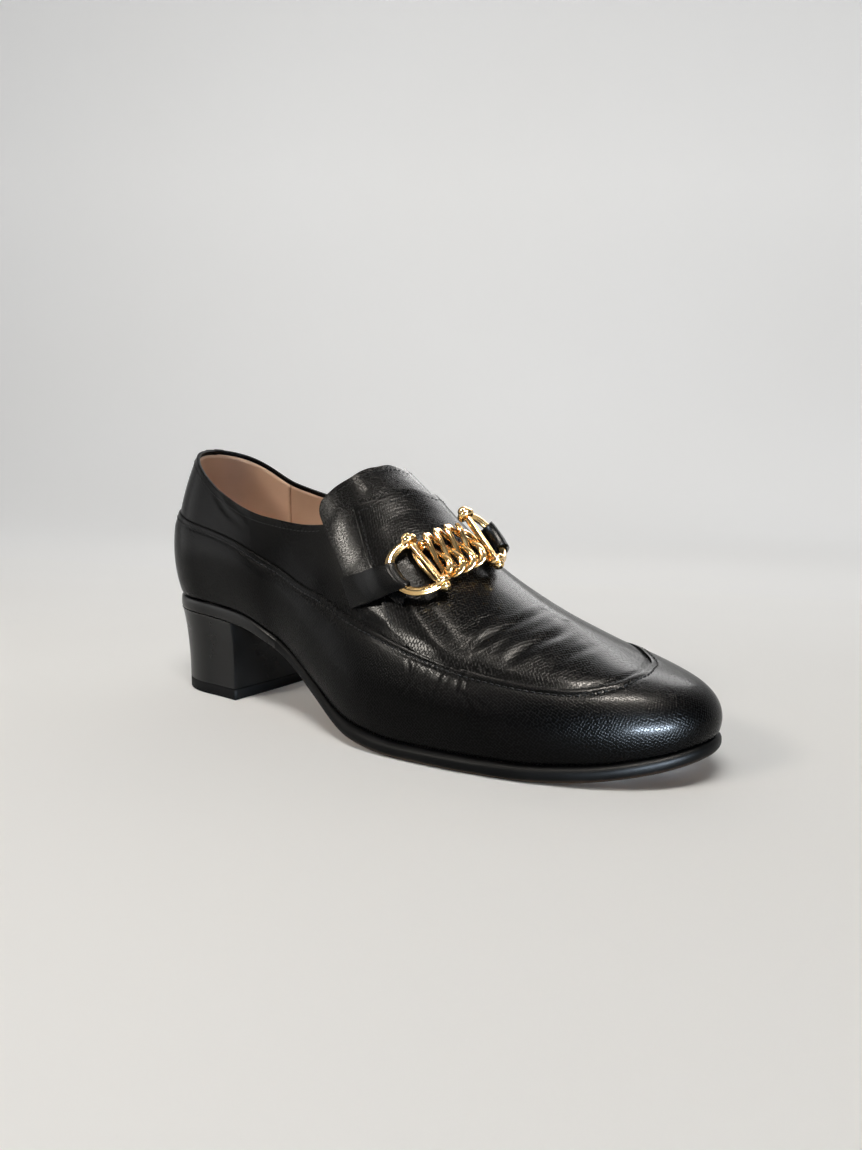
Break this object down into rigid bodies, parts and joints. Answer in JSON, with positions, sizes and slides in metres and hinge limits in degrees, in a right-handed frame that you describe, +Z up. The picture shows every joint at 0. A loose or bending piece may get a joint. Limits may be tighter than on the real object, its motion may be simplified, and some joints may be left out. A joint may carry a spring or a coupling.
{
  "type": "heeled loafer",
  "caption": "Black leather slip-on loafer for the right foot, with a moccasin-style top seam, a block heel and a gold chain bit across the instep.",
  "frame": {"origin": "on the floor under the middle of the shoe's bounding box", "axes": "+X toward the toe, +Y toward the inner side of the foot, +Z up"},
  "size_m": [0.2574, 0.088, 0.1124],
  "materials": {
    "sole_leather": "dark painted sole edge, worn brown below",
    "heel_leather": "smooth satin black",
    "heel_rubber": "matt black",
    "upper_leather": "black, fine printed grain, soft gloss",
    "lining_leather": "matt tan",
    "saddle_leather": "black, fine printed grain, soft gloss",
    "plug_leather": "black, fine printed grain, soft gloss",
    "gold_metal": "polished gold plate",
    "strap_leather": "smooth black"
  },
  "bodies": {
    "root": {"outsole": "sole_leather", "heel_block": "heel_leather", "heel_top_piece": "heel_rubber", "upper": "upper_leather", "insole": "lining_leather", "saddle_tongue": "saddle_leather", "vamp_plug": "plug_leather", "bit_ring_right": "gold_metal", "bit_ring_left": "gold_metal", "chain_link_1": "gold_metal", "chain_link_2": "gold_metal", "chain_link_3": "gold_metal", "chain_link_4": "gold_metal", "chain_link_5": "gold_metal", "strap_right": "strap_leather", "strap_left": "strap_leather"}
  },
  "joints": []
}
